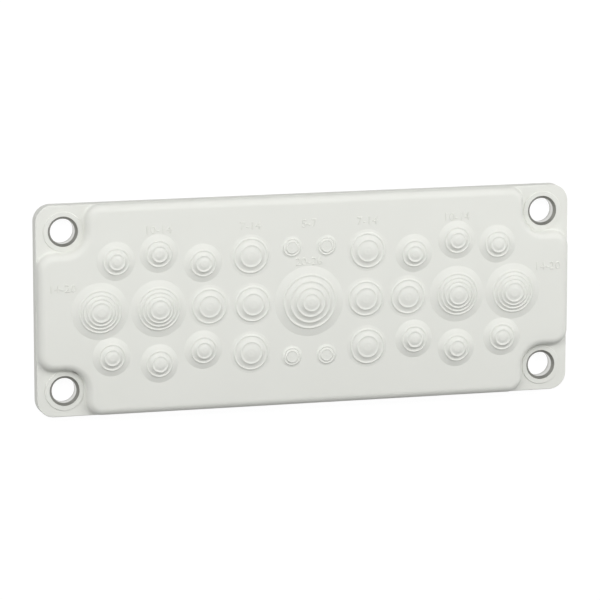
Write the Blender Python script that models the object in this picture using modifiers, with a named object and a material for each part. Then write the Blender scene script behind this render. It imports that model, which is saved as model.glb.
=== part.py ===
"""Cable entry plate: a moulded flange plate with ringed membranes and four metal bushes.

The plate lies on its rear face. X runs along its length, Y across it and +Z out of its front.
The origin is the middle of the plane that the rear sealing bead stands on. All sizes are in metres.
"""

from math import cos, pi, sin, sqrt

import bmesh
import bpy

# Flange
PLATE_LENGTH = 0.240
PLATE_WIDTH = 0.092
CORNER_RADIUS = 0.0075
FLANGE_THICKNESS = 0.0058
FLANGE_EDGE_CHAMFER = 0.0004

# Raised plateau: its outline steps in round the pad of each screw hole
PLATEAU_RISE = 0.0042
PLATEAU_FILLET = 0.0034
PLATEAU_SETBACK = 0.0004
PAD_TO_PLATEAU = 0.00045
SHOULDER_RADIUS = 0.0070

# Hollow rear: one pan behind the plateau, closed by its front wall
FRONT_WALL = 0.0028
SIDE_WALL = 0.0035

# Sealing bead on the rear rim
BEAD_HEIGHT = 0.0004
BEAD_WIDTH = 0.0014

# Screw holes, each with a raised pad and a metal bush that is a little shorter than the moulding
HOLE_TO_END = 0.0120
HOLE_TO_SIDE = 0.0114
PAD_RIM = 0.0024
PAD_HEIGHT = 0.0004
PAD_CHAMFER = 0.0004
BUSH_BORE_RADIUS = 0.00543
BUSH_WALL = 0.00082
BUSH_SEAT_CLEARANCE = 0.0003
BUSH_REAR_RECESS = 0.0001
BUSH_LAND = 0.0002
BUSH_MOUTH_DEPTH = 0.0010
BUSH_REAR_CHAMFER = 0.0002
BUSH_SEGMENTS = 20

# Membranes: a cone that steps up in rings from the plateau to a small nib
MEMBRANE_WALL = 0.0009
SKIRT_WALL = 0.0010
RING_DROP_WIDTH = 0.0005
NIB_SLOPE = 0.27

# Layout: the middle row is packed outward from the centre, and the side entries stand over it
ROW_WEB = 0.00117

# Modelling allowances
OVERLAP = 0.0010
SINK = 0.0001
WELD_DISTANCE = 0.000001
ARC_STEP = pi / 10
SHARP_ANGLE = pi / 5
FILLET_SEGMENTS = 4

# Heights, places and radii that follow from the sizes above
REAR_Z = BEAD_HEIGHT
FLANGE_Z = REAR_Z + FLANGE_THICKNESS
PAD_Z = FLANGE_Z + PAD_HEIGHT
PLATEAU_Z = FLANGE_Z + PLATEAU_RISE
CEILING_Z = PLATEAU_Z - FRONT_WALL
HOLE_X = PLATE_LENGTH / 2 - HOLE_TO_END
HOLE_Y = PLATE_WIDTH / 2 - HOLE_TO_SIDE
BUSH_RADIUS = BUSH_BORE_RADIUS + BUSH_WALL
SEAT_RADIUS = BUSH_RADIUS + BUSH_SEAT_CLEARANCE
PAD_RADIUS = BUSH_RADIUS + PAD_RIM
NOTCH_RADIUS = PAD_RADIUS + PAD_TO_PLATEAU


class Membrane:
    """One size of membrane: a skirt, then rings from the first and widest to the last."""

    def __init__(
        self, skirt_width, first_radius, first_height, last_radius, last_height, ring_drop,
        nib_radius, rings, segments,
    ):
        self.base_radius = first_radius + skirt_width
        self.first_radius = first_radius
        self.first_height = first_height
        self.last_radius = last_radius
        self.last_height = last_height
        self.ring_drop = ring_drop
        self.nib_radius = nib_radius
        self.rings = rings
        self.segments = segments

    def crest(self, ring):
        """Radius and height over the plateau of one ring's crest, counted from the outside."""
        share = ring / (self.rings - 1)
        return (
            self.first_radius + (self.last_radius - self.first_radius) * share,
            self.first_height + (self.last_height - self.first_height) * share,
        )


class SideEntry:
    """An entry above or below the middle row, one web away from the place that it stands beside."""

    def __init__(self, size, beside, offset, web):
        self.size = size
        self.beside = beside
        self.offset = offset
        self.web = web

    def distance(self):
        """How far the entry's centre lies from the middle of the row, across the plate."""
        neighbour = MEMBRANES[MIDDLE_ROW[self.beside]]
        reach = neighbour.base_radius + self.web + MEMBRANES[self.size].base_radius
        return sqrt(reach ** 2 - self.offset ** 2)


# Each name gives the cable diameters that the membrane takes, in millimetres.
# A ring's height is that of its crest over the plateau.
MEMBRANES = {
    "20_26": Membrane(
        skirt_width=0.00365, first_radius=0.01165, first_height=0.00145, last_radius=0.0038,
        last_height=0.0043, ring_drop=0.0004, nib_radius=0.0022, rings=4, segments=30,
    ),
    "14_20": Membrane(
        skirt_width=0.0033, first_radius=0.0090, first_height=0.0013, last_radius=0.00415,
        last_height=0.0034, ring_drop=0.0004, nib_radius=0.0021, rings=4, segments=26,
    ),
    "10_14": Membrane(
        skirt_width=0.0029, first_radius=0.0055, first_height=0.00125, last_radius=0.00335,
        last_height=0.00235, ring_drop=0.0004, nib_radius=0.0021, rings=2, segments=16,
    ),
    "7_14": Membrane(
        skirt_width=0.0017, first_radius=0.00735, first_height=0.00065, last_radius=0.0047,
        last_height=0.0015, ring_drop=0.0004, nib_radius=0.0024, rings=2, segments=18,
    ),
    "5_7": Membrane(
        skirt_width=0.0012, first_radius=0.0036, first_height=0.0005, last_radius=0.00245,
        last_height=0.0008, ring_drop=0.0003, nib_radius=0.0011, rings=2, segments=12,
    ),
}

# The middle row from the centre to one end: each place and the size of its membrane
MIDDLE_ROW = {
    "centre": "20_26",
    "second": "7_14",
    "third": "7_14",
    "fourth": "14_20",
    "last": "14_20",
}

# Entries above and below the middle row, given for one end. The offset runs along X from the
# place in the middle row, and the skirt of the lower end entry touches its neighbour's.
SIDE_ENTRIES = {
    "innermost": SideEntry(size="5_7", beside="centre", offset=0.0078, web=0.00514),
    "inner": SideEntry(size="7_14", beside="second", offset=0.0008, web=0.00314),
    "middle": SideEntry(size="10_14", beside="third", offset=0.0028, web=0.00173),
    "outer": SideEntry(size="10_14", beside="fourth", offset=-0.00015, web=0.0033),
    "upper_end": SideEntry(size="10_14", beside="last", offset=-0.0072, web=0.0019),
    "lower_end": SideEntry(size="10_14", beside="last", offset=-0.0049, web=0.0),
}
UPPER_SIDE = ("innermost", "inner", "middle", "outer", "upper_end")
LOWER_SIDE = ("innermost", "inner", "middle", "outer", "lower_end")


def arc(centre, radius, start, end):
    """Points along an arc from one angle to another, ends included."""
    count = max(2, round(abs(end - start) / ARC_STEP))
    angles = [start + (end - start) * i / count for i in range(count + 1)]
    return [(centre[0] + radius * cos(a), centre[1] + radius * sin(a)) for a in angles]


def four_corners(corner):
    """A closed outline from its +X +Y corner, given anticlockwise, mirrored round the plate."""
    upper_left = [(-x, y) for x, y in reversed(corner)]
    lower_left = [(-x, -y) for x, y in corner]
    lower_right = [(x, -y) for x, y in reversed(corner)]
    return corner + upper_left + lower_left + lower_right


def flange_outline():
    """The plate's own outline, a rectangle with round corners."""
    centre = (PLATE_LENGTH / 2 - CORNER_RADIUS, PLATE_WIDTH / 2 - CORNER_RADIUS)
    return four_corners(arc(centre, CORNER_RADIUS, 0, pi / 2))


def plateau_outline(inset):
    """The plateau's outline moved inward: it curves in round each screw hole and out again."""
    shoulder = SHOULDER_RADIUS - inset
    notch = NOTCH_RADIUS + inset
    end_centre = (PLATE_LENGTH / 2 - SHOULDER_RADIUS, HOLE_Y - NOTCH_RADIUS - SHOULDER_RADIUS)
    side_centre = (HOLE_X - NOTCH_RADIUS - SHOULDER_RADIUS, PLATE_WIDTH / 2 - SHOULDER_RADIUS)
    corner = arc(end_centre, shoulder, 0, pi / 2)
    corner += arc((HOLE_X, HOLE_Y), notch, 3 * pi / 2, pi)
    corner += arc(side_centre, shoulder, 0, pi / 2)
    return four_corners(corner)


def new_collection(name):
    """A collection in the scene."""
    collection = bpy.data.collections.new(name)
    bpy.context.scene.collection.children.link(collection)
    return collection


def new_object(name, mesh, collection):
    """An object for a mesh, in a collection."""
    obj = bpy.data.objects.new(name, mesh)
    collection.objects.link(obj)
    return obj


def shade(mesh):
    """Smooth shading with creases left at the sharp edges."""
    mesh.shade_smooth()
    mesh.set_sharp_from_angle(angle=SHARP_ANGLE)


def lies_at(element, height):
    """Whether a face or an edge lies flat at one height."""
    return all(abs(vert.co.z - height) < WELD_DISTANCE for vert in element.verts)


def slab(name, outlines, bottom, top, collection):
    """A flat plate between two heights from closed outlines, where an inner one is a hole."""
    curve = bpy.data.curves.new(name + "_outline", "CURVE")
    curve.dimensions = "2D"
    curve.fill_mode = "BOTH"
    curve.extrude = (top - bottom) / 2
    for outline in outlines:
        spline = curve.splines.new("POLY")
        spline.points.add(len(outline) - 1)
        for point, (x, y) in zip(spline.points, outline):
            point.co = (x, y, 0, 1)
        spline.use_cyclic_u = True
    drawn = new_object(name + "_outline", curve, collection)
    drawn.location.z = (top + bottom) / 2
    bpy.context.view_layer.update()
    graph = bpy.context.evaluated_depsgraph_get()
    mesh = bpy.data.meshes.new_from_object(drawn.evaluated_get(graph))
    mesh.transform(drawn.matrix_world)
    bpy.data.objects.remove(drawn)
    shape = bmesh.new()
    shape.from_mesh(mesh)
    bmesh.ops.remove_doubles(shape, verts=shape.verts, dist=WELD_DISTANCE)
    bmesh.ops.recalc_face_normals(shape, faces=shape.faces)
    if len(outlines) == 1:
        for level in (bottom, top):
            bmesh.ops.dissolve_faces(shape, faces=[f for f in shape.faces if lies_at(f, level)])
    shape.to_mesh(mesh)
    shape.free()
    shade(mesh)
    return new_object(name, mesh, collection)


def round_rim(obj, height, radius, segments):
    """Round or chamfer the edges of a slab's outline at one height."""
    shape = bmesh.new()
    shape.from_mesh(obj.data)
    rim = [e for e in shape.edges if lies_at(e, height)]
    bmesh.ops.bevel(
        shape, geom=rim, offset=radius, offset_type="OFFSET", segments=segments, profile=0.5,
        affect="EDGES", clamp_overlap=False,
    )
    shape.to_mesh(obj.data)
    shape.free()
    shade(obj.data)


def turned(name, profile, segments, centre, collection, closed=False):
    """A turned solid: a profile that runs down its outer side, spun about Z with a Screw."""
    mesh = bpy.data.meshes.new(name)
    edges = [(i, i + 1) for i in range(len(profile) - 1)]
    if closed:
        edges.append((len(profile) - 1, 0))
    mesh.from_pydata([(r, 0, z) for r, z in profile], edges, [])
    obj = new_object(name, mesh, collection)
    obj.location = (centre[0], centre[1], 0)
    screw = obj.modifiers.new("Screw", "SCREW")
    screw.steps = segments
    screw.render_steps = segments
    screw.use_merge_vertices = True
    screw.merge_threshold = WELD_DISTANCE
    return obj


def joined(name, parts, collection):
    """One cutter or block from several turned solids that stand clear of each other."""
    bpy.context.view_layer.update()
    graph = bpy.context.evaluated_depsgraph_get()
    shape = bmesh.new()
    for part in parts:
        mesh = bpy.data.meshes.new_from_object(part.evaluated_get(graph))
        mesh.transform(part.matrix_world)
        shape.from_mesh(mesh)
        bpy.data.meshes.remove(mesh)
        bpy.data.objects.remove(part)
    mesh = bpy.data.meshes.new(name)
    shape.to_mesh(mesh)
    shape.free()
    shade(mesh)
    return new_object(name, mesh, collection)


def combine(obj, operation, tool):
    """Join a tool to an object or cut it out, with the exact Boolean."""
    boolean = obj.modifiers.new(tool.name, "BOOLEAN")
    boolean.operation = operation
    boolean.solver = "EXACT"
    boolean.object = tool
    tool.hide_render = True
    tool.display_type = "WIRE"


def finish(obj, colour, roughness, metallic):
    """Give an object its own material."""
    material = bpy.data.materials.new(obj.name)
    material.use_nodes = True
    shader = material.node_tree.nodes["Principled BSDF"]
    shader.inputs["Base Color"].default_value = (*colour, 1)
    shader.inputs["Roughness"].default_value = roughness
    shader.inputs["Metallic"].default_value = metallic
    material.diffuse_color = (*colour, 1)
    obj.data.materials.append(material)


def middle_places():
    """X of each place in the middle row: the bases stand one web apart."""
    places = {}
    edge = 0
    for place, size in MIDDLE_ROW.items():
        radius = MEMBRANES[size].base_radius
        places[place] = edge + ROW_WEB + radius if places else 0
        edge = places[place] + radius
    return places


def middle_entries():
    """Size and centre of every entry in the middle row, out to both ends."""
    places = middle_places()
    centres = {x * side for x in places.values() for side in (1, -1)}
    sizes = {x: MIDDLE_ROW[place] for place, x in places.items()}
    return [(sizes[abs(x)], (x, 0)) for x in sorted(centres)]


def side_entries():
    """Size and centre of every entry above and below the middle row."""
    places = middle_places()
    placed = []
    for level, names in ((1, UPPER_SIDE), (-1, LOWER_SIDE)):
        for entry in (SIDE_ENTRIES[name] for name in names):
            x = places[entry.beside] + entry.offset
            y = level * entry.distance()
            placed += [(entry.size, (x, y)), (entry.size, (-x, y))]
    return placed


def membrane_section(membrane):
    """Profile of a membrane's front, a nib and rings that step down to a skirt, and its segments."""
    dish_z = PLATEAU_Z + membrane.last_height - membrane.ring_drop
    profile = [(0, dish_z + membrane.nib_radius * NIB_SLOPE), (membrane.nib_radius, dish_z)]
    for ring in reversed(range(membrane.rings)):
        crest_r, crest_h = membrane.crest(ring)
        profile.append((crest_r - RING_DROP_WIDTH, PLATEAU_Z + crest_h - membrane.ring_drop))
        profile.append((crest_r, PLATEAU_Z + crest_h))
    spread = SINK * (membrane.base_radius - membrane.first_radius) / membrane.first_height
    profile.append((membrane.base_radius + spread, PLATEAU_Z - SINK))
    profile.append((0, PLATEAU_Z - SINK))
    return profile, membrane.segments


def well_section(membrane):
    """Profile and segments of the hollow behind a membrane, a cone one wall below the rings."""
    drop = membrane.ring_drop + MEMBRANE_WALL
    mouth = membrane.base_radius - SKIRT_WALL
    profile = [
        (0, PLATEAU_Z + membrane.last_height - drop),
        (membrane.last_radius - RING_DROP_WIDTH, PLATEAU_Z + membrane.last_height - drop),
        (mouth, PLATEAU_Z - drop),
        (mouth, CEILING_Z - OVERLAP),
        (0, CEILING_Z - OVERLAP),
    ]
    return profile, membrane.segments * 3 // 4


def at_entries(name, entries, section, collection):
    """One block or cutter with the same section of membrane turned at each entry."""
    solids = []
    for size, centre in entries:
        profile, segments = section(MEMBRANES[size])
        solids.append(turned(name + "_" + size, profile, segments, centre, collection))
    return joined(name, solids, collection)


def pad_profile():
    """Raised pad round a screw hole, with a sloping edge."""
    spread = SINK * PAD_CHAMFER / PAD_HEIGHT
    return [
        (0, PAD_Z),
        (PAD_RADIUS - PAD_CHAMFER, PAD_Z),
        (PAD_RADIUS + spread, FLANGE_Z - SINK),
        (0, FLANGE_Z - SINK),
    ]


def bush_profile():
    """Section of a bush: a short sleeve whose mouth is opened out to its outer edge."""
    bottom = REAR_Z + BUSH_REAR_RECESS
    return [
        (BUSH_RADIUS - BUSH_LAND, PAD_Z),
        (BUSH_RADIUS, PAD_Z),
        (BUSH_RADIUS, bottom),
        (BUSH_BORE_RADIUS + BUSH_REAR_CHAMFER, bottom),
        (BUSH_BORE_RADIUS, bottom + BUSH_REAR_CHAMFER),
        (BUSH_BORE_RADIUS, PAD_Z - BUSH_MOUTH_DEPTH),
    ]


def hole_centres():
    """Name and centre of each screw hole, as seen from the front."""
    for level, y in (("upper", HOLE_Y), ("lower", -HOLE_Y)):
        for side, x in (("left", -HOLE_X), ("right", HOLE_X)):
            yield level + "_" + side, (x, y)


def build_plate(parts, tools):
    """The moulding: flange, plateau, pads and membranes, hollowed from the rear."""
    plate = slab("membrane_plate", [flange_outline()], REAR_Z, FLANGE_Z, parts)
    round_rim(plate, FLANGE_Z, FLANGE_EDGE_CHAMFER, 1)

    plateau = slab("plateau", [plateau_outline(PLATEAU_SETBACK)], REAR_Z + OVERLAP, PLATEAU_Z, tools)
    round_rim(plateau, PLATEAU_Z, PLATEAU_FILLET, FILLET_SEGMENTS)
    combine(plate, "UNION", plateau)

    bead_inset = (SIDE_WALL - BEAD_WIDTH) / 2
    bead_edges = [plateau_outline(bead_inset), plateau_outline(bead_inset + BEAD_WIDTH)]
    combine(plate, "UNION", slab("sealing_bead", bead_edges, 0, REAR_Z + OVERLAP, tools))

    centres = [centre for _, centre in hole_centres()]
    pads = [turned("pad", pad_profile(), BUSH_SEGMENTS, c, tools) for c in centres]
    combine(plate, "UNION", joined("hole_pads", pads, tools))

    middle, side = middle_entries(), side_entries()
    combine(plate, "UNION", at_entries("middle_membranes", middle, membrane_section, tools))
    combine(plate, "UNION", at_entries("side_membranes", side, membrane_section, tools))

    pan = slab("rear_pan", [plateau_outline(SIDE_WALL)], -OVERLAP, CEILING_Z, tools)
    combine(plate, "DIFFERENCE", pan)
    combine(plate, "DIFFERENCE", at_entries("middle_wells", middle, well_section, tools))
    combine(plate, "DIFFERENCE", at_entries("side_wells", side, well_section, tools))

    seat = [(0, PAD_Z + OVERLAP), (SEAT_RADIUS, PAD_Z + OVERLAP), (SEAT_RADIUS, -OVERLAP), (0, -OVERLAP)]
    seats = [turned("seat", seat, BUSH_SEGMENTS, c, tools) for c in centres]
    combine(plate, "DIFFERENCE", joined("bush_seats", seats, tools))
    finish(plate, (0.76, 0.76, 0.74), 0.55, 0.0)


def build_bushes(parts):
    """The four metal bushes in the screw holes."""
    for name, centre in hole_centres():
        bush = turned("bush_" + name, bush_profile(), BUSH_SEGMENTS, centre, parts, closed=True)
        finish(bush, (0.42, 0.43, 0.44), 0.35, 1.0)


def main():
    """Clear the scene and build the object."""
    for obj in list(bpy.data.objects):
        bpy.data.objects.remove(obj)
    parts = new_collection("cable_entry_plate")
    tools = new_collection("cutters_and_blocks")
    build_plate(parts, tools)
    build_bushes(parts)


main()
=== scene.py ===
"""Cable entry plate: its looks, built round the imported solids.

The plate lies on its rear face. X runs along it, Y across it and +Z out of its front. All sizes
are in metres.
"""

import logging
from dataclasses import dataclass, field
from enum import Enum
from math import acos, ceil, cos, pi, radians, sin, sqrt, tan
from typing import Callable, Iterable, Sequence, Union

import bmesh
import bpy
from mathutils import Matrix, Vector


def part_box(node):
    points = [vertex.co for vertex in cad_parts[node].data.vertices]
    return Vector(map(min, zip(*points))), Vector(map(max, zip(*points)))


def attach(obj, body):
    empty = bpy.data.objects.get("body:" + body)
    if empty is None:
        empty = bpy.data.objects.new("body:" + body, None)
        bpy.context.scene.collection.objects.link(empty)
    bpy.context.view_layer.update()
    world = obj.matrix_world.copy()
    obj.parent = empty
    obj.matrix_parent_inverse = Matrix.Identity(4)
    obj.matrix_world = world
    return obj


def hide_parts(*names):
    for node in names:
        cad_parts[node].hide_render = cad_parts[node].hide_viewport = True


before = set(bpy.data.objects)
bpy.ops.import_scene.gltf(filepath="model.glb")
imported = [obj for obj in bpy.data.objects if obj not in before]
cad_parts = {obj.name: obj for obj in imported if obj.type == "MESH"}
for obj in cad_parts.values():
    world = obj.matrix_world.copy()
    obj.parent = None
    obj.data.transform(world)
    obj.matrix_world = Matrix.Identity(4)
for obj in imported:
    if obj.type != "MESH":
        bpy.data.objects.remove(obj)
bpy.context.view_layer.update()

LOG = logging.getLogger("cable_entry_plate")
BODY = "root"
PLATE_NODE = "membrane_plate"
ON_AXIS = 1e-7
WHITE = (1.0, 1.0, 1.0, 1.0)
LEVEL = (1.0, 1.0, 0.0)
MEAN_SPOT = 0.5
METRE = 1.0
EDGE_SHARE = 0.47

Point = tuple[float, float]
Corner = tuple[float, float, float]
Colour = tuple[float, float, float]
Outline = Callable[[float], list[Point]]
Value = Union[float, Sequence[float], "Socket"]


class Join(Enum):
    """How a tool changes the object that it meets."""

    ADD = "UNION"
    CUT = "DIFFERENCE"


class Slot(Enum):
    """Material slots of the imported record."""

    MOULDING = "moulding"
    BUSH_METAL = "bush_metal"


class PlateCorner(Enum):
    """The corners of the plate, seen from the front, as signs along X and Y."""

    UPPER_LEFT = (-1, 1)
    UPPER_RIGHT = (1, 1)
    LOWER_LEFT = (-1, -1)
    LOWER_RIGHT = (1, -1)

    @property
    def bush(self) -> str:
        """Name of the corner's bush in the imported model."""
        return "bush_" + self.name.lower()


class Size(Enum):
    """Sizes of membrane, named by the cable diameters that they take in millimetres."""

    MM_20_26 = "20-26"
    MM_14_20 = "14-20"
    MM_10_14 = "10-14"
    MM_7_14 = "7-14"
    MM_5_7 = "5-7"


class Socket:
    """An output of a shader node that can be used in sums."""

    def __init__(self, sheet: "NodeSheet", output: bpy.types.NodeSocket) -> None:
        """Wrap an output.

        Args:
            sheet: the node sheet that the output is on.
            output: the output itself.
        """
        self.sheet = sheet
        self.output = output

    def _sum(self, operation: str, first: Value, second: Value) -> "Socket":
        """Put a Math node on two values.

        Args:
            operation: the Math node's operation.
            first: its first value.
            second: its second value.
        Returns:
            The node's result.
        """
        return self.sheet.node("ShaderNodeMath", {"operation": operation}, {0: first, 1: second})

    def __add__(self, other: Value) -> "Socket":
        """Sum with another value."""
        return self._sum("ADD", self, other)

    def __radd__(self, other: Value) -> "Socket":
        """Sum with a number on the left."""
        return self._sum("ADD", other, self)

    def __sub__(self, other: Value) -> "Socket":
        """Difference from another value."""
        return self._sum("SUBTRACT", self, other)

    def __rsub__(self, other: Value) -> "Socket":
        """Difference from a number on the left."""
        return self._sum("SUBTRACT", other, self)

    def __mul__(self, other: Value) -> "Socket":
        """Product with another value."""
        return self._sum("MULTIPLY", self, other)

    def __rmul__(self, other: Value) -> "Socket":
        """Product with a number on the left."""
        return self._sum("MULTIPLY", other, self)


class NodeSheet:
    """The nodes of one material or of the room."""

    MIX_FACTOR = 0
    MIX_FIRST_COLOUR = 6
    MIX_SECOND_COLOUR = 7
    MIX_COLOUR = 2

    def __init__(self, owner: bpy.types.Material | bpy.types.World) -> None:
        """Start an empty sheet.

        Args:
            owner: the material or room that it is for.
        """
        owner.use_nodes = True
        self.owner = owner
        self.tree = owner.node_tree
        self.tree.nodes.clear()

    def node(
        self,
        kind: str,
        settings: dict[str, object] | None = None,
        inputs: dict[str | int, Value] | None = None,
        result: str | int = 0,
    ) -> Socket:
        """Add a node.

        Args:
            kind: the node's type.
            settings: its own settings, set first.
            inputs: values or links of its sockets, by name or number.
            result: name or number of the output that is wanted.
        Returns:
            That output.
        """
        return Socket(self, self._placed(kind, settings, inputs).outputs[result])

    def _placed(
        self,
        kind: str,
        settings: dict[str, object] | None,
        inputs: dict[str | int, Value] | None,
    ) -> bpy.types.Node:
        """Put a node on the sheet.

        Args:
            kind: the node's type.
            settings: its own settings, set first.
            inputs: values or links of its sockets.
        Returns:
            The node.
        """
        made = self.tree.nodes.new(kind)
        for key, value in (settings or {}).items():
            setattr(made, key, value)
        for key, value in (inputs or {}).items():
            if isinstance(value, Socket):
                self.tree.links.new(value.output, made.inputs[key])
            else:
                made.inputs[key].default_value = value
        return made

    def place(self) -> Socket:
        """Place on the object, in metres."""
        return self.node("ShaderNodeTexCoord", result="Object")

    def spots(self, place: Socket, size: float, detail: float = 2.0) -> Socket:
        """Soft random spots.

        Args:
            place: where to read them.
            size: how wide a spot is, in metres.
            detail: how many finer layers they hold.
        Returns:
            A value from 0 to 1, mostly near its middle.
        """
        inputs = {"Vector": place, "Scale": 1 / size, "Detail": detail}
        return self.node("ShaderNodeTexNoise", {"noise_dimensions": "3D"}, inputs, "Fac")

    def blend(self, share: Socket, first: Colour, second: Colour) -> Socket:
        """A colour between two others.

        Args:
            share: how much of the second colour there is.
            first: the first colour.
            second: the second colour.
        Returns:
            The colour.
        """
        inputs = {
            self.MIX_FACTOR: share,
            self.MIX_FIRST_COLOUR: (*first, 1.0),
            self.MIX_SECOND_COLOUR: (*second, 1.0),
        }
        return self.node("ShaderNodeMix", {"data_type": "RGBA"}, inputs, self.MIX_COLOUR)

    def bump(self, height: Socket, depth: float) -> Socket:
        """Small raised and sunk places.

        Args:
            height: their height, from 0 to 1.
            depth: how far apart 0 and 1 are, in metres.
        Returns:
            The surface's direction.
        """
        return self.node("ShaderNodeBump", inputs={"Height": height, "Distance": depth})

    def finished(self, shader: dict[str | int, Value]) -> bpy.types.Material:
        """Close the sheet with its shader.

        Args:
            shader: values or links of the shader's sockets.
        Returns:
            The material.
        """
        surface = self.node("ShaderNodeBsdfPrincipled", inputs=shader)
        self._placed("ShaderNodeOutputMaterial", None, {"Surface": surface})
        return self.owner

    def lit(self, strength: Socket) -> bpy.types.World:
        """Close the sheet with the room's white light.

        Args:
            strength: how bright it is.
        Returns:
            The room.
        """
        light = self.node("ShaderNodeBackground", inputs={"Color": WHITE, "Strength": strength})
        self._placed("ShaderNodeOutputWorld", None, {"Surface": light})
        return self.owner


@dataclass(frozen=True)
class MouldedPlastic:
    """Light grey moulded plastic with a fine satin skin."""

    pale: Colour = (0.798, 0.806, 0.760)
    grey: Colour = (0.768, 0.776, 0.730)
    cloud_size: float = 0.022
    skin_size: float = 0.0009
    grain_size: float = 0.00022
    skin_depth: float = 0.000004
    grain_depth: float = 0.0000012
    roughness: float = 0.66
    roughness_spread: float = 0.08
    refraction: float = 1.48

    def material(self) -> bpy.types.Material:
        """Make the finish.

        Returns:
            The material.
        """
        sheet = NodeSheet(bpy.data.materials.new("moulded_plastic"))
        place = sheet.place()
        clouds = sheet.spots(place, self.cloud_size, detail=3.0)
        skin = sheet.spots(place, self.skin_size)
        grain = sheet.spots(place, self.grain_size)
        height = skin * self.skin_depth + grain * self.grain_depth
        roughness = self.roughness + (grain - MEAN_SPOT) * self.roughness_spread
        return sheet.finished({
            "Base Color": sheet.blend(clouds, self.pale, self.grey),
            "Roughness": roughness,
            "IOR": self.refraction,
            "Normal": sheet.bump(height, METRE),
        })


@dataclass(frozen=True)
class TurnedSteel:
    """Plated steel, dull at the mouth and bright in the bore, with painted shade that darkens the
    lower bore, and the fine marks of turning.
    """

    # The dull colour serves both the dull mouth and the painted shade in the lower bore.
    bright: Colour = (0.66, 0.66, 0.64)
    dull: Colour = (0.36, 0.36, 0.335)
    bright_level: float = 0.0051
    dull_level: float = 0.0054
    # Painted shade in the bore: the height where it is full, the height where it starts, and how
    # strong it is.
    painted_shade_full_level: float = 0.0018
    painted_shade_start_level: float = 0.0030
    painted_shade_share: float = 0.55
    cloud_size: float = 0.0028
    cloud_share: float = 0.16
    mark_size: float = 0.00006
    mark_depth: float = 0.0000008
    bore_roughness: float = 0.36
    mouth_roughness: float = 0.56
    roughness_spread: float = 0.12

    def material(self) -> bpy.types.Material:
        """Make the finish.

        Returns:
            The material.
        """
        sheet = NodeSheet(bpy.data.materials.new("turned_steel"))
        place = sheet.place()
        across = sheet.node(
            "ShaderNodeVectorMath", {"operation": "MULTIPLY"}, {0: place, 1: LEVEL}
        )
        radius = sheet.node("ShaderNodeVectorMath", {"operation": "LENGTH"}, {0: across}, "Value")
        height = sheet.node("ShaderNodeSeparateXYZ", inputs={0: place}, result="Z")
        marks = sheet.node(
            "ShaderNodeTexNoise",
            {"noise_dimensions": "1D"},
            {"W": radius + height, "Scale": 1 / self.mark_size, "Detail": 2.0},
            "Fac",
        )
        limits = {"Value": height, "From Min": self.bright_level, "From Max": self.dull_level}
        mouth = sheet.node("ShaderNodeMapRange", inputs=limits)
        # Painted shade: the bore is blended towards the dull colour lower down, deep in the hole
        # where shade falls.
        limits = {"Value": height, "From Min": self.painted_shade_start_level, "From Max": self.painted_shade_full_level}
        painted_shade = sheet.node("ShaderNodeMapRange", inputs=limits) * self.painted_shade_share
        clouds = sheet.spots(place, self.cloud_size, detail=4.0)
        share = mouth + painted_shade + (clouds - MEAN_SPOT) * self.cloud_share
        coarser = mouth * (self.mouth_roughness - self.bore_roughness)
        roughness = self.bore_roughness + coarser + (marks - MEAN_SPOT) * self.roughness_spread
        return sheet.finished({
            "Base Color": sheet.blend(share, self.bright, self.dull),
            "Metallic": 1.0,
            "Roughness": roughness,
            "Normal": sheet.bump(marks, self.mark_depth),
        })


@dataclass(frozen=True)
class LightTable:
    """A pale floor that glows a little, as a light table does."""

    colour: Colour = (0.10, 0.10, 0.10)
    glow: float = 0.95
    roughness: float = 0.9

    def material(self) -> bpy.types.Material:
        """Make the finish.

        Returns:
            The material.
        """
        return NodeSheet(bpy.data.materials.new("light_table")).finished({
            "Base Color": (*self.colour, 1.0),
            "Roughness": self.roughness,
            "Specular IOR Level": 0.0,
            "Emission Color": WHITE,
            "Emission Strength": self.glow,
        })


@dataclass(frozen=True)
class Room:
    """Even white light from all round, brighter from below, as over a white table."""

    above: float = 0.117
    below: float = 0.329
    edge: float = 0.05

    def world(self) -> bpy.types.World:
        """Make the room.

        Returns:
            The world.
        """
        sheet = NodeSheet(bpy.data.worlds.new("room"))
        direction = sheet.node("ShaderNodeTexCoord", result="Generated")
        rise = sheet.node("ShaderNodeSeparateXYZ", inputs={0: direction}, result="Z")
        limits = {
            "Value": rise,
            "From Min": -self.edge,
            "From Max": self.edge,
            "To Min": self.below,
            "To Max": self.above,
        }
        return sheet.lit(sheet.node("ShaderNodeMapRange", inputs=limits))


@dataclass(frozen=True)
class SoftBox:
    """A wide soft lamp that faces the plate and that no camera sees."""

    name: str
    towards: tuple[float, float, float]
    power: float
    distance: float = 0.7
    width: float = 1.5
    depth: float = 0.45

    def hang(self) -> None:
        """Hang the lamp."""
        towards = Vector(self.towards).normalized()
        light = bpy.data.lights.new(self.name, "AREA")
        light.shape = "RECTANGLE"
        light.size = self.width
        light.size_y = self.depth
        light.energy = self.power
        lamp = added(self.name, light)
        lamp.location = towards * self.distance
        lamp.rotation_euler = (-towards).to_track_quat("-Z", "Y").to_euler()
        lamp.visible_camera = False


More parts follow.
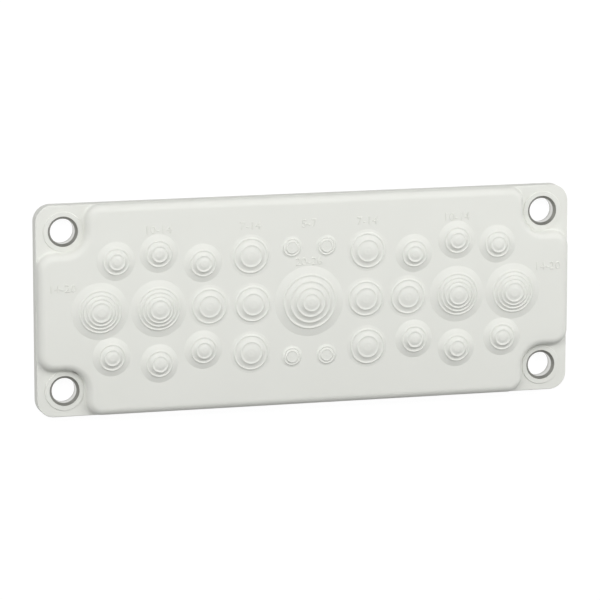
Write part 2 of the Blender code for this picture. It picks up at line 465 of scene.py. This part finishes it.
class Drawing:
    """Points and faces of a mesh while it is drawn."""

    def __init__(self) -> None:
        """Start with nothing drawn."""
        self.points: list[tuple[float, float, float]] = []
        self.faces: list[list[int]] = []

    def turn(
        self, section: Sequence[Point], segments: int, centre: Point = (0, 0), closed: bool = False
    ) -> None:
        """Add a turned solid.

        Args:
            section: radius and height of its points, down its outer side.
            segments: how many flat sides go round it.
            centre: where its axis stands.
            closed: whether the section ends where it starts, as on a sleeve.
        """
        rings = []
        for radius, height in section:
            first = len(self.points)
            if radius < ON_AXIS:
                self.points.append((*centre, height))
                rings.append([first] * segments)
                continue
            for i in range(segments):
                turn = 2 * pi * i / segments
                x, y = centre[0] + radius * cos(turn), centre[1] + radius * sin(turn)
                self.points.append((x, y, height))
            rings.append(list(range(first, first + segments)))
        self._skin(rings, closed)

    def run(self, section: Sequence[Point], outline: Outline, closed: bool = False) -> None:
        """Add a solid whose section runs along an outline.

        Args:
            section: inset and height of its points, down its outer side.
            outline: gives the outline moved inward by an inset, anticlockwise.
            closed: whether the section ends where it starts, as on a bead.
        """
        rings = []
        for inset, height in section:
            first = len(self.points)
            self.points += [(x, y, height) for x, y in outline(inset)]
            rings.append(list(range(first, len(self.points))))
        self._skin(rings, closed)
        if not closed:
            self.faces += [rings[0], rings[-1][::-1]]

    def _skin(self, rings: list[list[int]], closed: bool) -> None:
        """Join each ring of points to the next.

        Args:
            rings: the rings, down the outer side.
            closed: whether the last one joins the first.
        """
        below = rings[1:] + rings[:1] if closed else rings[1:]
        for upper, lower in zip(rings, below):
            for i, _ in enumerate(upper):
                j = (i + 1) % len(upper)
                face = list(dict.fromkeys((upper[i], lower[i], lower[j], upper[j])))
                if len(face) > 2:
                    self.faces.append(face)

    def made(self, name: str) -> bpy.types.Object:
        """Turn the drawing into an object.

        Args:
            name: the object's name.
        Returns:
            The object, in the scene.
        """
        mesh = bpy.data.meshes.new(name)
        mesh.from_pydata(self.points, [], self.faces)
        mesh.update()
        return added(name, mesh)


def added(name: str, data: bpy.types.ID | None) -> bpy.types.Object:
    """Put an object in the scene.

    Args:
        name: the object's name.
        data: its mesh, curve, light or camera.
    Returns:
        The object.
    """
    thing = bpy.data.objects.new(name, data)
    bpy.context.scene.collection.objects.link(thing)
    return thing


def arc(centre: Point, radius: float, start: float, end: float, count: int) -> list[Point]:
    """Points along an arc, both ends included.

    Args:
        centre: the arc's centre.
        radius: its radius.
        start: angle of its first point.
        end: angle of its last point.
        count: how many straight steps it has.
    Returns:
        The points.
    """
    turns = [start + (end - start) * i / count for i in range(count + 1)]
    return [(centre[0] + radius * cos(t), centre[1] + radius * sin(t)) for t in turns]


def rounded(corners: Sequence[Corner], step: float) -> list[Point]:
    """Round the corners of a section.

    Args:
        corners: radius or inset, height, and rounding of each corner.
        step: widest turn between two points of a rounding.
    Returns:
        The section's points.
    """
    points = []
    for i, (across, height, rounding) in enumerate(corners):
        if not rounding:
            points.append((across, height))
            continue
        here = Vector((across, height))
        back = Vector(corners[i - 1][:2]) - here
        ahead = Vector(corners[(i + 1) % len(corners)][:2]) - here
        half = back.angle(ahead) / 2
        reach = min(rounding / tan(half), EDGE_SHARE * back.length, EDGE_SHARE * ahead.length)
        centre = here + (back.normalized() + ahead.normalized()).normalized() * (reach / cos(half))
        first = here + back.normalized() * reach - centre
        last = here + ahead.normalized() * reach - centre
        turn = pi - 2 * half
        count = max(2, ceil(turn / step))
        for n in range(count + 1):
            share = n / count
            spoke = first * sin((1 - share) * turn) + last * sin(share * turn)
            points.append(tuple(centre + spoke / sin(turn)))
    return points


def four_corners(corner: list[Point]) -> list[Point]:
    """Mirror one corner of an outline round the plate.

    Args:
        corner: the +X +Y corner, anticlockwise.
    Returns:
        The closed outline, anticlockwise.
    """
    upper_left = [(-x, y) for x, y in reversed(corner)]
    lower_left = [(-x, -y) for x, y in corner]
    lower_right = [(x, -y) for x, y in reversed(corner)]
    return corner + upper_left + lower_left + lower_right


def applied(thing: bpy.types.Object) -> bpy.types.Mesh:
    """Work out an object's final mesh.

    Args:
        thing: the object, with its modifiers.
    Returns:
        A new mesh.
    """
    bpy.context.view_layer.update()
    graph = bpy.context.evaluated_depsgraph_get()
    return bpy.data.meshes.new_from_object(thing.evaluated_get(graph))


def combine(body: bpy.types.Object, join: Join, tool: bpy.types.Object) -> None:
    """Add a tool to a body or cut it out, and delete the tool.

    Args:
        body: the object that changes.
        join: what the tool does.
        tool: the other solid.
    """
    boolean = body.modifiers.new(tool.name, "BOOLEAN")
    boolean.operation = join.value
    boolean.solver = "MANIFOLD"
    boolean.object = tool
    mesh = applied(body)
    body.modifiers.clear()
    body.data = mesh
    bpy.data.objects.remove(tool)


def smoothed(thing: bpy.types.Object, crease: float) -> None:
    """Shade an object smoothly, with large faces kept flat.

    Args:
        thing: the object.
        crease: edges that turn more than this stay sharp.
    """
    thing.data.shade_smooth()
    thing.data.set_sharp_from_angle(angle=crease)
    weighted = thing.modifiers.new("even_shade", "WEIGHTED_NORMAL")
    weighted.keep_sharp = True
    mesh = applied(thing)
    thing.modifiers.clear()
    thing.data = mesh


def kept(
    thing: bpy.types.Object, finish: bpy.types.Material, nodes: Iterable[str] = ()
) -> None:
    """Dress a piece and tie it to the frame.

    Args:
        thing: the piece.
        finish: its material.
        nodes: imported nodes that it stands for.
    """
    thing.data.materials.clear()
    thing.data.materials.append(finish)
    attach(thing, BODY)
    if nodes:
        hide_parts(*nodes)
    thing.data.calc_loop_triangles()
    LOG.info("%s: %d triangles", thing.name, len(thing.data.loop_triangles))


@dataclass(frozen=True)
class RingForm:
    """Section that every ring of a membrane shares."""

    drop: float = 0.0002
    drop_width: float = 0.00046
    cap_drop: float = 0.00018
    cap_valley: float = 0.00045
    sweep: float = 1.45
    sweep_shares: tuple[float, ...] = (0.18, 0.4, 0.66)
    crest_width: float = 0.0001
    crest_fall: float = 0.00002
    crest_rounding: float = 0.00025
    valley_rounding: float = 0.0004
    cap_valley_rounding: float = 0.0006
    cap_rounding: float = 0.0003
    lip_start: float = 0.00018
    lip_fall: float = 0.00003
    lip_width: float = 0.0005
    lip_height: float = 0.00052
    lip_rounding: float = 0.0010
    foot_rounding: float = 0.0016
    foot_reach: float = 0.00018


@dataclass(frozen=True)
class Membrane:
    """One size of membrane: a skirt, then rings from the first and widest to the last."""

    skirt_width: float
    first_radius: float
    first_height: float
    last_radius: float
    last_height: float
    rings: int
    segments: int
    cap_slope: float
    form: RingForm = RingForm()
    cap_edge: float = 0.00045
    flat_radius: float = 0.0018
    pip_share: float = 1 / 3
    pip_height: float = 0.00004
    pip_slope: float = 3.0
    pip_rounding: float = 0.0003
    dome_rounding: float = 0.0008
    foot_spread: float = 0.0005
    foot_sink: float = 0.00004
    root: float = 0.0008
    wall: float = 0.0009
    skirt_wall: float = 0.0010
    rounding_step: float = 0.38
    well_step: float = 0.76
    well_rounding: float = 0.0008
    well_flare: float = 0.0003

    @property
    def base_radius(self) -> float:
        """Radius where the skirt meets the plateau."""
        return self.first_radius + self.skirt_width

    def crest(self, ring: int) -> Point:
        """Find the crest of one ring.

        Args:
            ring: the ring, counted from the outside.
        Returns:
            The crest's radius and its height over the plateau.
        """
        share = ring / (self.rings - 1)
        return (
            self.first_radius + (self.last_radius - self.first_radius) * share,
            self.first_height + (self.last_height - self.first_height) * share,
        )

    def _cap(self) -> list[Corner]:
        """Lay out the low cap inside the last ring, a cone with a flat top and a pip on it.

        Returns:
            Its corners.
        """
        edge = self.last_radius - self.cap_edge
        level = self.last_height - self.form.cap_drop
        flat = min(self.flat_radius, edge / 2)
        valley = edge - self.form.cap_valley
        crown = level + (valley - flat) * self.cap_slope
        pip = flat * self.pip_share
        return [
            (0, crown + self.pip_height, 0),
            (pip, crown + self.pip_height, self.pip_rounding),
            (pip + self.pip_height * self.pip_slope, crown, self.pip_rounding),
            (flat, crown, self.dome_rounding),
            (valley, level, self.form.cap_valley_rounding),
            (edge, level, self.form.cap_rounding),
        ]

    def _band(self, ring: int) -> list[Corner]:
        """Lay out a ring down to the valley before the next, a slope that flattens outward.

        Args:
            ring: the ring, counted from the outside.
        Returns:
            The corners from its crest to the valley.
        """
        form = self.form
        inner, above = self.crest(ring)
        outer, below = self.crest(ring - 1)
        corners = [(inner, above, form.crest_rounding)]
        inner, above = inner + form.crest_width, above - form.crest_fall
        corners.append((inner, above, form.crest_rounding))
        width = outer - form.drop_width - inner
        fall = above - below + form.drop
        for share in form.sweep_shares:
            sunk = fall * (1 - (1 - share) ** form.sweep)
            corners.append((inner + width * share, above - sunk, 0))
        corners.append((inner + width, above - fall, form.valley_rounding))
        return corners

    def front(self, plateau: float) -> list[Point]:
        """Section of the membrane's front.

        Args:
            plateau: height of the plateau that it stands on.
        Returns:
            Its points, from the middle outward and back to the axis below.
        """
        form = self.form
        corners = self._cap()
        for ring in range(self.rings - 1, 0, -1):
            corners += self._band(ring)
        radius, height = self.crest(0)
        corners.append((radius, height, form.crest_rounding))
        radius, height = radius + form.lip_start, height - form.lip_fall
        corners.append((radius, height, form.crest_rounding))
        corners.append((radius + form.lip_width, height - form.lip_height, form.lip_rounding))
        foot = self.base_radius + form.foot_reach
        corners.append((foot, 0, form.foot_rounding))
        edge = foot + self.foot_spread
        corners += [(edge, -self.foot_sink, 0), (edge, -self.root, 0), (0, -self.root, 0)]
        return [(r, plateau + z) for r, z in rounded(corners, self.rounding_step)]

    def well(self, plateau: float, ceiling: float) -> list[Point]:
        """Section of the hollow behind the membrane.

        Args:
            plateau: height of the plateau.
            ceiling: height of the rear pan's ceiling.
        Returns:
            Its points, from the middle outward and back to the axis below.
        """
        drop = self.form.drop + self.wall + self.form.lip_height / 2
        mouth = self.base_radius - self.skirt_wall
        flare = mouth + self.well_flare
        narrow = self.last_radius - self.form.drop_width
        corners = [
            (0, plateau + self.last_height - drop, 0),
            (narrow, plateau + self.last_height - drop, self.well_rounding),
            (mouth, plateau - drop, self.well_rounding),
            (mouth, ceiling + self.well_flare, self.well_rounding / 2),
            (flare, ceiling, 0),
            (flare, ceiling - self.root, 0),
            (0, ceiling - self.root, 0),
        ]
        return rounded(corners, self.well_step)


@dataclass(frozen=True)
class SideEntry:
    """An entry above or below the middle row, one web away from the place that it is beside."""

    size: Size
    beside: int
    offset: float
    web: float


@dataclass
class Layout:
    """Sizes of the membranes and where each one stands."""

    row_web: float = 0.00117
    membranes: dict[Size, Membrane] = field(default_factory=lambda: {
        Size.MM_20_26: Membrane(
            skirt_width=0.00365,
            first_radius=0.01165,
            first_height=0.00152,
            last_radius=0.0038,
            last_height=0.0042,
            rings=4,
            segments=96,
            cap_slope=0.31,
            form=RingForm(
                drop=0.00024, drop_width=0.0007, sweep=1.7, crest_width=0.00001, lip_start=0.00005
            ),
        ),
        Size.MM_14_20: Membrane(
            skirt_width=0.0033,
            first_radius=0.0090,
            first_height=0.00142,
            last_radius=0.00415,
            last_height=0.0035,
            rings=4,
            segments=76,
            cap_slope=0.36,
        ),
        Size.MM_10_14: Membrane(
            skirt_width=0.0029,
            first_radius=0.0055,
            first_height=0.00145,
            last_radius=0.00335,
            last_height=0.0025,
            rings=2,
            segments=52,
            cap_slope=0.42,
            form=RingForm(sweep=1.8, cap_valley=0.0003, crest_width=0.0002, foot_reach=0.00005),
        ),
        Size.MM_7_14: Membrane(
            skirt_width=0.0017,
            first_radius=0.00735,
            first_height=0.00075,
            last_radius=0.0047,
            last_height=0.0016,
            rings=2,
            segments=56,
            cap_slope=0.225,
            form=RingForm(sweep=2.0, lip_rounding=0.0007, foot_rounding=0.0010),
        ),
        Size.MM_5_7: Membrane(
            skirt_width=0.0012,
            first_radius=0.0036,
            first_height=0.0006,
            last_radius=0.00245,
            last_height=0.00095,
            rings=2,
            segments=40,
            cap_slope=0.03,
            form=RingForm(
                drop=0.00018,
                drop_width=0.0004,
                cap_drop=0.00018,
                cap_valley=0.0001,
                lip_width=0.0003,
                lip_height=0.00033,
                lip_rounding=0.0007,
                foot_rounding=0.0006,
                foot_reach=0.0,
            ),
        ),
    })
    middle_row: tuple[Size, ...] = (
        Size.MM_20_26, Size.MM_7_14, Size.MM_7_14, Size.MM_14_20, Size.MM_14_20
    )
    both_sides: tuple[SideEntry, ...] = (
        SideEntry(Size.MM_5_7, beside=0, offset=0.0078, web=0.00514),
        SideEntry(Size.MM_7_14, beside=1, offset=0.0008, web=0.00314),
        SideEntry(Size.MM_10_14, beside=2, offset=0.0028, web=0.00173),
        SideEntry(Size.MM_10_14, beside=3, offset=-0.00015, web=0.0033),
    )
    upper_end: SideEntry = SideEntry(Size.MM_10_14, beside=4, offset=-0.0072, web=0.0019)
    lower_end: SideEntry = SideEntry(Size.MM_10_14, beside=4, offset=-0.0049, web=0.0)

    def places(self) -> list[float]:
        """Space out the middle row.

        Returns:
            X of each place, from the centre to one end.
        """
        places = [0.0]
        for inner, outer in zip(self.middle_row, self.middle_row[1:]):
            radii = self.membranes[inner].base_radius + self.membranes[outer].base_radius
            places.append(places[-1] + radii + self.row_web)
        return places

    def middle(self) -> list[tuple[Size, Point]]:
        """List the middle row.

        Returns:
            Size and centre of every entry in it.
        """
        inner, *outer = zip(self.middle_row, self.places())
        row = [(inner[0], (inner[1], 0.0))]
        for size, x in outer:
            row += [(size, (x, 0.0)), (size, (-x, 0.0))]
        return row

    def side_place(self, entry: SideEntry) -> Point:
        """Place a side entry at the +X end of the upper side.

        Args:
            entry: the side entry.
        Returns:
            Its centre.
        """
        neighbour = self.membranes[self.middle_row[entry.beside]]
        reach = neighbour.base_radius + entry.web + self.membranes[entry.size].base_radius
        return self.places()[entry.beside] + entry.offset, sqrt(reach ** 2 - entry.offset ** 2)

    def sides(self) -> list[tuple[Size, Point]]:
        """List the entries above and below the middle row.

        Returns:
            Size and centre of every one of them.
        """
        found = []
        for level, end in ((1, self.upper_end), (-1, self.lower_end)):
            for entry in (*self.both_sides, end):
                x, y = self.side_place(entry)
                found += [(entry.size, (x, level * y)), (entry.size, (-x, level * y))]
        return found


@dataclass
class MembranePlate:
    """The moulding: flange, plateau, pads and membranes, hollow at the rear."""

    length: float
    width: float
    holes: dict[PlateCorner, Point]
    layout: Layout
    bore_radius: float = 0.00653
    rear: float = 0.0004
    flange_top: float = 0.0062
    plateau_top: float = 0.0104
    ceiling: float = 0.0076
    corner_radius: float = 0.0075
    flange_edge: float = 0.0004
    rear_edge: float = 0.00025
    plateau_rounding: float = 0.0034
    plateau_setback: float = 0.00015
    plateau_foot: float = 0.0012
    end_gap: float = 0.0001
    fillet_steps: int = 9
    foot_steps: int = 4
    pad_radius: float = 0.00865
    pad_height: float = 0.0004
    pad_rounding: float = 0.00013
    pad_to_plateau: float = 0.0004
    shoulder_radius: float = 0.0070
    side_wall: float = 0.0035
    pan_rounding: float = 0.0010
    bead_width: float = 0.0014
    bead_rounding: float = 0.0002
    bore_edge: float = 0.0001
    core_inset: float = 0.0050
    overlap: float = 0.0010
    sink: float = 0.00001
    arc_steps: int = 24
    edge_step: float = 0.32
    bead_step: float = 0.48
    segments: int = 96
    crease: float = radians(34)

    def flange_outline(self, inset: float) -> list[Point]:
        """Draw the plate's outline.

        Args:
            inset: how far inward it is moved.
        Returns:
            Its points.
        """
        radius = self.corner_radius
        centre = (self.length / 2 - radius, self.width / 2 - radius)
        return four_corners(arc(centre, radius - inset, 0, pi / 2, self.arc_steps))

    def plateau_outline(self, inset: float) -> list[Point]:
        """Draw the plateau's outline, which never leaves the flange.

        Args:
            inset: how far inward it is moved, or outward where it is negative.
        Returns:
            Its points.
        """
        hole_x, hole_y = self.holes[PlateCorner.UPPER_RIGHT]
        notch = self.pad_radius + self.pad_to_plateau
        shoulder = self.shoulder_radius
        half_length = self.length / 2 - self.end_gap
        end = (half_length - shoulder, hole_y - notch - shoulder)
        side = (hole_x - notch - shoulder, self.width / 2 - shoulder)
        steps = self.arc_steps
        corner = arc(end, shoulder - inset, 0, pi / 2, steps)
        corner += arc((hole_x, hole_y), notch + inset, 3 * pi / 2, pi, steps)
        corner += arc(side, shoulder - inset, 0, pi / 2, steps)
        limit_x = half_length - self.plateau_setback
        limit_y = self.width / 2 - self.plateau_setback
        return four_corners([(min(x, limit_x), min(y, limit_y)) for x, y in corner])

    def body(self) -> bpy.types.Object:
        """Build the flange with its plateau.

        Returns:
            Both as one object.
        """
        flange = Drawing()
        section = rounded(
            [
                (self.corner_radius / 2, self.flange_top, 0),
                (0, self.flange_top, self.flange_edge),
                (0, self.rear, self.rear_edge),
                (self.corner_radius / 2, self.rear, 0),
            ],
            self.edge_step,
        )
        flange.run(section, self.flange_outline)
        body = flange.made(PLATE_NODE + "_front")

        plateau = Drawing()
        wall, fillet, foot = self.plateau_setback, self.plateau_rounding, self.plateau_foot
        section = [(self.core_inset, self.plateau_top)]
        turn = acos(1 - (self.plateau_top - self.flange_top) / (fillet + foot))
        crown = (wall + fillet, self.plateau_top - fillet)
        section += arc(crown, fillet, pi / 2, pi / 2 + turn, self.fillet_steps)
        toe = crown[0] - (fillet + foot) * sin(turn)
        heel = (toe, self.flange_top + foot - self.sink)
        section += arc(heel, foot, turn - pi / 2, -pi / 2, self.foot_steps)[1:]
        section.append((toe, self.flange_top - self.overlap))
        section.append((self.core_inset, self.flange_top - self.overlap))
        plateau.run(section, self.plateau_outline)
        combine(body, Join.ADD, plateau.made("plateau"))
        return body

    def add_pads(self, body: bpy.types.Object) -> None:
        """Raise a pad round each screw hole.

        Args:
            body: the moulding so far.
        """
        pads = Drawing()
        top = self.flange_top + self.pad_height
        section = rounded(
            [
                (0, top, 0),
                (self.pad_radius - self.pad_rounding, top, self.pad_rounding),
                (self.pad_radius, self.flange_top, self.pad_rounding / 2),
                (self.pad_radius + self.pad_rounding, self.flange_top - self.sink, 0),
                (self.pad_radius + self.pad_rounding, self.flange_top - self.overlap, 0),
                (0, self.flange_top - self.overlap, 0),
            ],
            self.edge_step,
        )
        for hole in self.holes.values():
            pads.turn(section, self.segments, hole)
        combine(body, Join.ADD, pads.made("pads"))

    def add_bead(self, body: bpy.types.Object) -> None:
        """Raise the sealing bead on the rear rim.

        Args:
            body: the moulding so far.
        """
        bead = Drawing()
        outer = (self.side_wall - self.bead_width) / 2
        inner = outer + self.bead_width
        top = self.rear + self.overlap
        section = rounded(
            [
                (outer, top, 0),
                (outer, 0, self.bead_rounding),
                (inner, 0, self.bead_rounding),
                (inner, top, 0),
            ],
            self.bead_step,
        )
        bead.run(section, self.plateau_outline, closed=True)
        combine(body, Join.ADD, bead.made("bead"))

    def add_membranes(self, body: bpy.types.Object) -> None:
        """Raise the membranes, row by row, and hollow them from the rear.

        Args:
            body: the moulding so far.
        """
        rows = (self.layout.middle(), self.layout.sides())
        for row in rows:
            fronts = Drawing()
            for size, centre in row:
                membrane = self.layout.membranes[size]
                fronts.turn(membrane.front(self.plateau_top), membrane.segments, centre)
            combine(body, Join.ADD, fronts.made("membranes"))

        pan = Drawing()
        section = rounded(
            [
                (self.side_wall * 2, self.ceiling, 0),
                (self.side_wall, self.ceiling, self.pan_rounding),
                (self.side_wall, -self.overlap, 0),
            ],
            self.edge_step,
        )
        pan.run(section, self.plateau_outline)
        combine(body, Join.CUT, pan.made("rear_pan"))

        for row in rows:
            wells = Drawing()
            for size, centre in row:
                membrane = self.layout.membranes[size]
                section = membrane.well(self.plateau_top, self.ceiling)
                wells.turn(section, membrane.segments // 2, centre)
            combine(body, Join.CUT, wells.made("wells"))

    def cut_bores(self, body: bpy.types.Object) -> None:
        """Cut the bores that hold the bushes.

        Args:
            body: the moulding so far.
        """
        bores = Drawing()
        pad_top = self.flange_top + self.pad_height
        wide = self.bore_radius + self.bore_edge
        section = [
            (0, pad_top + self.overlap),
            (wide + self.overlap, pad_top + self.overlap),
            (self.bore_radius, pad_top - self.bore_edge),
            (self.bore_radius, -self.overlap),
            (0, -self.overlap),
        ]
        for hole in self.holes.values():
            bores.turn(section, self.segments, hole)
        combine(body, Join.CUT, bores.made("bores"))

    def build(self, finish: bpy.types.Material) -> bpy.types.Object:
        """Build and dress the moulding.

        Args:
            finish: its material.
        Returns:
            The piece.
        """
        body = self.body()
        self.add_pads(body)
        self.add_bead(body)
        self.add_membranes(body)
        self.cut_bores(body)
        smoothed(body, self.crease)
        kept(body, finish, [PLATE_NODE])
        return body


@dataclass
class Bush:
    """A short metal sleeve whose mouth is opened out to its outer edge."""

    corner: PlateCorner
    centre: Point
    top: float
    bottom: float
    radius: float = 0.0065
    bore_radius: float = 0.00543
    mouth_depth: float = 0.0013
    land: float = 0.00006
    rear_edge: float = 0.0002
    rounding: float = 0.00008
    rounding_step: float = 0.5
    segments: int = 96
    crease: float = radians(30)

    def build(self, finish: bpy.types.Material) -> bpy.types.Object:
        """Build and dress the bush round its own centre.

        Args:
            finish: its material.
        Returns:
            The piece.
        """
        mouth = self.top - self.mouth_depth
        section = rounded(
            [
                (self.radius - self.land, self.top, self.land / 2),
                (self.radius, self.top, self.land / 2),
                (self.radius, self.bottom, self.rounding),
                (self.bore_radius + self.rear_edge, self.bottom, self.rounding),
                (self.bore_radius, self.bottom + self.rear_edge, self.rounding),
                (self.bore_radius, mouth, self.rounding * 2),
            ],
            self.rounding_step,
        )
        sleeve = Drawing()
        sleeve.turn(section, self.segments, closed=True)
        piece = sleeve.made(self.corner.bush + "_turned")
        piece.location = (*self.centre, 0)
        smoothed(piece, self.crease)
        kept(piece, finish, [self.corner.bush])
        return piece


@dataclass
class RangeNumerals:
    """Raised numerals that give the cable diameters beside the membranes."""

    layout: Layout
    surface: float
    height: float = 0.0049
    spacing: float = 1.08
    relief: float = 0.00024
    edge: float = 0.00007
    root: float = 0.0001
    side_line: float = 0.0341
    centre_line: float = 0.01735
    end_line: float = 0.0104
    end_column: float = 0.1094
    curve_steps: int = 4
    crease: float = radians(40)

    def labels(self) -> list[tuple[Size, Point]]:
        """List the labels.

        Returns:
            Every label's text and the middle of its place.
        """
        found = [(Size.MM_5_7, (0.0, self.side_line)), (Size.MM_20_26, (0.0, self.centre_line))]
        columns = {
            Size.MM_7_14: self.layout.side_place(self.layout.both_sides[1])[0],
            Size.MM_10_14: self.layout.side_place(self.layout.both_sides[3])[0],
        }
        for size, x in columns.items():
            found += [(size, (-x, self.side_line)), (size, (x, self.side_line))]
        for x in (-self.end_column, self.end_column):
            found.append((Size.MM_14_20, (x, self.end_line)))
        return found

    def build(self, finish: bpy.types.Material) -> bpy.types.Object:
        """Build and dress the numerals as one piece.

        Args:
            finish: the material of the moulding.
        Returns:
            The piece.
        """
        joined = bmesh.new()
        thickness = (self.relief + self.root) / 2
        for size, (x, y) in self.labels():
            text = bpy.data.curves.new("numerals", "FONT")
            text.body = size.value
            text.align_x, text.align_y = "CENTER", "CENTER"
            text.size = self.height
            text.space_character = self.spacing
            text.extrude = thickness - self.edge
            text.bevel_depth = self.edge
            text.offset = -self.edge
            text.bevel_resolution = 1
            text.resolution_u = self.curve_steps
            written = added("numerals", text)
            mesh = applied(written)
            mesh.transform(Matrix.Translation((x, y, self.surface + self.relief - thickness)))
            joined.from_mesh(mesh)
            bpy.data.objects.remove(written)
        bmesh.ops.remove_doubles(joined, verts=joined.verts, dist=ON_AXIS)
        mesh = bpy.data.meshes.new("range_numerals")
        joined.to_mesh(mesh)
        joined.free()
        piece = added("range_numerals", mesh)
        smoothed(piece, self.crease)
        kept(piece, finish)
        return piece


@dataclass
class Studio:
    """A pale floor, soft light and the camera of the photograph."""

    aim: tuple[float, float, float] = (0.0, 0.0, 0.0066)
    towards_camera: tuple[float, float, float] = (-0.2689, 0.1764, 0.9469)
    distance: float = 1.6684
    aside: float = -0.00292
    above: float = -0.00018
    lens: float = 230.05
    sensor: float = 36.0
    nearest: float = 0.05
    farthest: float = 20.0
    floor_size: float = 6.0
    floor_drop: float = 0.0001
    lamps: tuple[SoftBox, ...] = (
        SoftBox("key", towards=(0.03, 0.5722, 0.8192), power=5.70),
        SoftBox("left_fill", towards=(-0.866, 0.0, 0.5), power=2.22),
        SoftBox("right_fill", towards=(0.866, 0.0, 0.5), power=2.02),
    )
    room: Room = Room()

    def build(self, floor: LightTable) -> None:
        """Build the floor, the lights and the camera.

        Args:
            floor: the floor's finish.
        """
        self._floor(floor)
        self._lights()
        self._camera()
        bpy.context.scene.view_settings.view_transform = "Standard"

    def _floor(self, finish: LightTable) -> None:
        """Lay the floor just under the plate.

        Args:
            finish: what it is made of.
        """
        half = self.floor_size / 2
        flat = [(-half, -half), (half, -half), (half, half), (-half, half)]
        mesh = bpy.data.meshes.new("floor")
        mesh.from_pydata([(x, y, -self.floor_drop) for x, y in flat], [], [(0, 1, 2, 3)])
        mesh.materials.append(finish.material())
        floor = added("floor", mesh)
        floor.visible_diffuse = False

    def _lights(self) -> None:
        """Hang the lamps and light the room."""
        for lamp in self.lamps:
            lamp.hang()
        bpy.context.scene.world = self.room.world()

    def _camera(self) -> None:
        """Set the camera where the photograph was taken from."""
        back = Vector(self.towards_camera).normalized()
        right = Vector((0, 1, 0)).cross(back).normalized()
        up = back.cross(right)
        data = bpy.data.cameras.new("camera")
        data.lens = self.lens
        data.sensor_width = self.sensor
        data.clip_start = self.nearest
        data.clip_end = self.farthest
        camera = added("camera", data)
        middle = Vector(self.aim) + back * self.distance
        camera.location = middle + right * self.aside + up * self.above
        camera.rotation_euler = Matrix((right, up, back)).transposed().to_euler()
        bpy.context.scene.camera = camera


def middle_of(node: str) -> tuple[Point, float, float]:
    """Middle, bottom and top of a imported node.

    Args:
        node: the node's name.
    Returns:
        X and Y of its middle, its lowest and its highest Z.
    """
    low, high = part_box(node)
    return ((low.x + high.x) / 2, (low.y + high.y) / 2), low.z, high.z


def main() -> None:
    """Build every piece, then the studio."""
    logging.basicConfig(level=logging.INFO, format="%(name)s: %(message)s")
    plastic = MouldedPlastic().material()
    steel = TurnedSteel().material()
    low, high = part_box(PLATE_NODE)
    holes = {corner: middle_of(corner.bush)[0] for corner in PlateCorner}
    layout = Layout()
    plate = MembranePlate(high.x - low.x, high.y - low.y, holes, layout)
    plate.build(plastic)
    for corner in PlateCorner:
        centre, bottom, top = middle_of(corner.bush)
        Bush(corner, centre, top, bottom).build(steel)
    RangeNumerals(layout, plate.plateau_top).build(plastic)
    Studio().build(LightTable())


if __name__ == "__main__":
    main()
